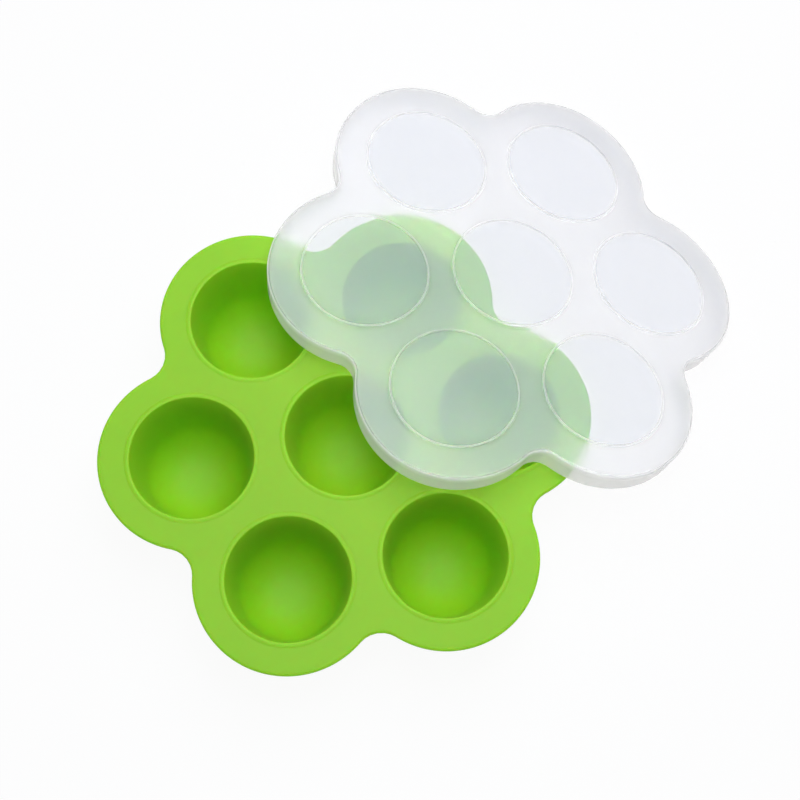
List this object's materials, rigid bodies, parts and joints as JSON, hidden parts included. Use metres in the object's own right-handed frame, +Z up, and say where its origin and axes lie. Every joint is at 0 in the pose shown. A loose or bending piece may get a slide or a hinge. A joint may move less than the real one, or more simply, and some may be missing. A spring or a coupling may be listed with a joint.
{
  "type": "baby food freezer tray",
  "caption": "Flower-shaped silicone tray of round freezing cups, with a loose translucent silicone lid that leans half on the tray and half on the table and lifts off.",
  "frame": {"origin": "centre of the middle cup's flat base, on the surface that the tray stands on", "axes": "+Z up, +X through the middle of an outer cup; the lid lies towards +X +Y and leans down that way"},
  "size_m": [0.2823, 0.2515, 0.0693],
  "materials": {
    "green_silicone": "smooth satin, opaque",
    "clear_silicone": "milky translucent, frosted between the rings and clearer inside them"
  },
  "bodies": {
    "tray": {"tray": "green_silicone"},
    "lid": {"lid": "clear_silicone"}
  },
  "joints": [
    {"name": "lid_lift", "type": "slide", "parent": "tray", "child": "lid", "axis": [0, 0, 1], "range_m": [0, 0.1]}
  ]
}
